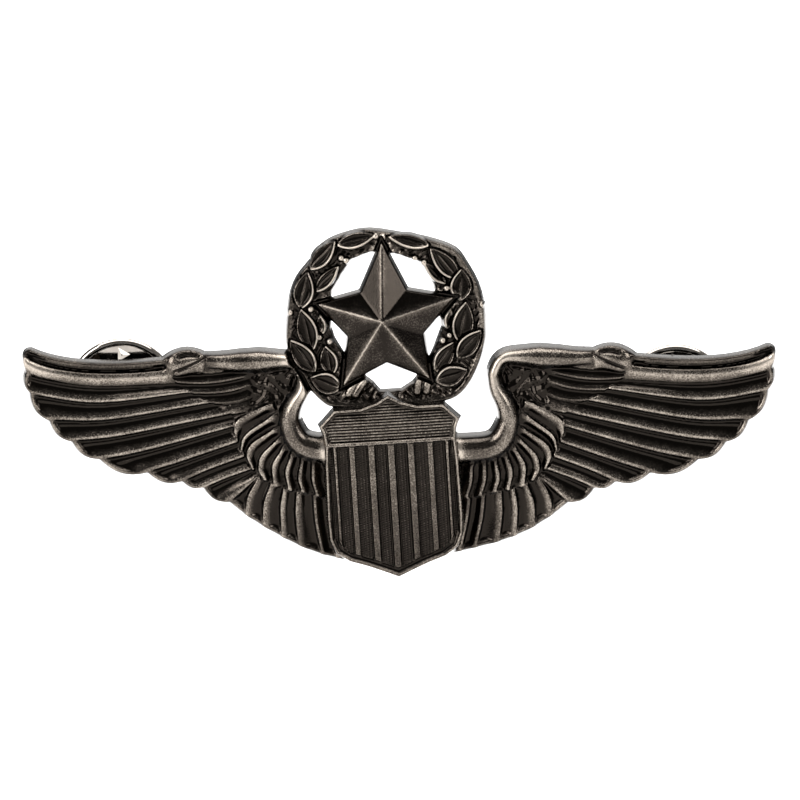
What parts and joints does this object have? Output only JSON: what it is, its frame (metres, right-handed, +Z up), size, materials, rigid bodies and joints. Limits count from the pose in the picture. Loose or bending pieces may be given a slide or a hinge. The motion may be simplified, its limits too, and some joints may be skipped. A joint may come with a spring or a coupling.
{
  "type": "pilot wings pin",
  "caption": "Pierced antique silver wings badge with shield, star and laurel wreath, held by pin posts and butterfly clutches.",
  "frame": {"origin": "on the badge's flat back, midway between the two pin posts", "axes": "+X to the viewer's right, +Z up as worn, and the front of the badge faces -Y; the posts point along +Y"},
  "size_m": [0.0762, 0.0119, 0.0355],
  "materials": {
    "antique_silver": "zinc casting, silver plated and blackened, with the edges polished back",
    "post_steel": "drawn and nickel plated, bright",
    "solder": "dull tin solder",
    "black_nickel": "pressed brass, black nickel plated, mirror bright",
    "spring_nickel": "spring strip, black nickel plated, bright"
  },
  "bodies": {
    "badge": {"wings": "antique_silver", "shield": "antique_silver", "laurel_wreath": "antique_silver", "star": "antique_silver", "left_pin_post": "post_steel", "right_pin_post": "post_steel", "left_solder_ring": "solder", "right_solder_ring": "solder"},
    "left_clutch_base": {"left_clutch_plate": "black_nickel"},
    "left_clutch_shell": {"left_clutch_cap": "black_nickel", "left_spring_seat": "spring_nickel"},
    "left_ear_a": {"left_spring_arm_a": "spring_nickel"},
    "left_ear_b": {"left_spring_arm_b": "spring_nickel"},
    "right_clutch_base": {"right_clutch_plate": "black_nickel"},
    "right_clutch_shell": {"right_clutch_cap": "black_nickel", "right_spring_seat": "spring_nickel"},
    "right_ear_a": {"right_spring_arm_a": "spring_nickel"},
    "right_ear_b": {"right_spring_arm_b": "spring_nickel"}
  },
  "joints": [
    {"name": "left_clutch_slide", "type": "slide", "parent": "badge", "child": "left_clutch_base", "axis": [0, 1, 0], "range_m": [0, 0.01]},
    {"name": "left_clutch_spin", "type": "hinge", "parent": "left_clutch_base", "child": "left_clutch_shell", "pos_m": [-0.02805, 0.005, 0.0003], "axis": [0, 1, 0], "continuous": true},
    {"name": "left_ear_a_squeeze", "type": "hinge", "parent": "left_clutch_shell", "child": "left_ear_a", "pos_m": [-0.02575, 0.00345, 0.0003], "axis": [0, 0, -1], "range_deg": [0, 6], "stiffness_Nm_per_rad": 0.01},
    {"name": "left_ear_b_squeeze", "type": "hinge", "parent": "left_clutch_shell", "child": "left_ear_b", "pos_m": [-0.03035, 0.00345, 0.0003], "axis": [0, 0, 1], "range_deg": [0, 6], "stiffness_Nm_per_rad": 0.01},
    {"name": "right_clutch_slide", "type": "slide", "parent": "badge", "child": "right_clutch_base", "axis": [0, 1, 0], "range_m": [0, 0.01]},
    {"name": "right_clutch_spin", "type": "hinge", "parent": "right_clutch_base", "child": "right_clutch_shell", "pos_m": [0.02805, 0.005, -0.0003], "axis": [0, 1, 0], "continuous": true},
    {"name": "right_ear_a_squeeze", "type": "hinge", "parent": "right_clutch_shell", "child": "right_ear_a", "pos_m": [0.03035, 0.00345, -0.0003], "axis": [0, 0, -1], "range_deg": [0, 6], "stiffness_Nm_per_rad": 0.01},
    {"name": "right_ear_b_squeeze", "type": "hinge", "parent": "right_clutch_shell", "child": "right_ear_b", "pos_m": [0.02575, 0.00345, -0.0003], "axis": [0, 0, 1], "range_deg": [0, 6], "stiffness_Nm_per_rad": 0.01}
  ],
  "couplings": [
    {"joint": "left_ear_b_squeeze", "follows": "left_ear_a_squeeze", "ratio": 1},
    {"joint": "right_ear_b_squeeze", "follows": "right_ear_a_squeeze", "ratio": 1}
  ]
}
